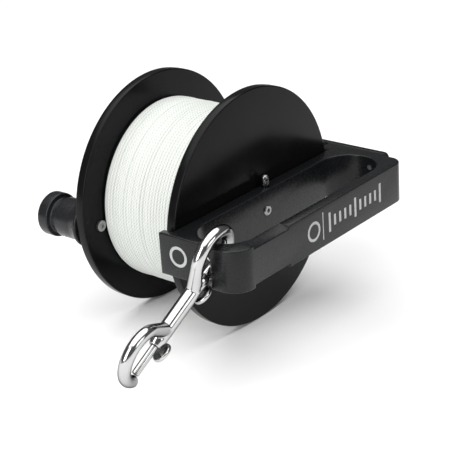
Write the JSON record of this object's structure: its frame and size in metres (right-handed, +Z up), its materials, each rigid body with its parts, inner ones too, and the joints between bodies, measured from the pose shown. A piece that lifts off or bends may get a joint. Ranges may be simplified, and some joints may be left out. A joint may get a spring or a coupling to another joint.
{
  "type": "dive reel",
  "caption": "Dive reel: line wound between two round discs on a slotted one-sided handle, with crank knob, lock screw, rear line guide and double-ended bolt snap.",
  "frame": {"origin": "where the spool axis meets the handle's flat outer face", "axes": "+X from the snap end to the line-guide end, +Y along the spool axis from the handle towards the crank knob, +Z up"},
  "size_m": [0.2145, 0.1458, 0.13],
  "materials": {
    "anodised": "satin black anodised",
    "steel": "polished stainless steel",
    "polished": "polished stainless steel",
    "screw_steel": "plain stainless steel",
    "spring": "drawn stainless wire",
    "washer_plastic": "natural plastic",
    "disc": "black, glossy",
    "drum": "black, moulded",
    "bronze": "sintered bronze",
    "line": "white braided line, wound in close turns",
    "knob": "black anodised"
  },
  "bodies": {
    "handle": {"frame": "anodised", "eye_liner": "steel", "guide_plate": "anodised", "guide_eyelet": "steel", "guide_screws": "screw_steel", "axle": "screw_steel", "axle_screw": "screw_steel", "thrust_washer": "washer_plastic", "end_washer": "screw_steel", "end_screw": "screw_steel"},
    "spool": {"near_disc": "disc", "far_disc": "disc", "drum": "drum", "near_bush": "bronze", "far_bush": "bronze", "disc_screws": "screw_steel", "hub_cap": "disc", "wound_line": "line", "knob_bolt": "screw_steel", "knob_washer": "screw_steel", "knob_screw": "screw_steel"},
    "knob": {"crank_knob": "knob"},
    "lock_screw": {"lock_screw": "steel", "lock_pad": "bronze"},
    "snap": {"snap_body": "polished", "upper_spring": "spring", "lower_spring": "spring"},
    "upper_bolt": {"upper_bolt": "polished"},
    "lower_bolt": {"lower_bolt": "polished"}
  },
  "joints": [
    {"name": "spool_spin", "type": "hinge", "parent": "handle", "child": "spool", "pos_m": [0, 0.0805, 0], "axis": [0, 1, 0], "continuous": true},
    {"name": "knob_spin", "type": "hinge", "parent": "spool", "child": "knob", "pos_m": [-0.0532, 0.1308, -0.0048], "axis": [0, 1, 0], "continuous": true},
    {"name": "lock_screw_turn", "type": "hinge", "parent": "handle", "child": "lock_screw", "pos_m": [0.0048, 0.0424, 0.012], "axis": [0, 0, 1], "range_deg": [-205, 720]},
    {"name": "snap_swing", "type": "hinge", "parent": "handle", "child": "snap", "pos_m": [-0.0681, 0.023, 0.0075], "axis": [0, 1, 0], "range_deg": [0, 30]},
    {"name": "upper_bolt_slide", "type": "slide", "parent": "snap", "child": "upper_bolt", "axis": [-0.8387, 0.069, -0.5402], "range_m": [0, 0.0068], "stiffness_N_per_m": 250, "springref_m": -0.008, "deforming": ["upper_spring"]},
    {"name": "lower_bolt_slide", "type": "slide", "parent": "snap", "child": "lower_bolt", "axis": [0.8387, -0.069, 0.5402], "range_m": [0, 0.0068], "stiffness_N_per_m": 250, "springref_m": -0.008, "deforming": ["lower_spring"]}
  ]
}
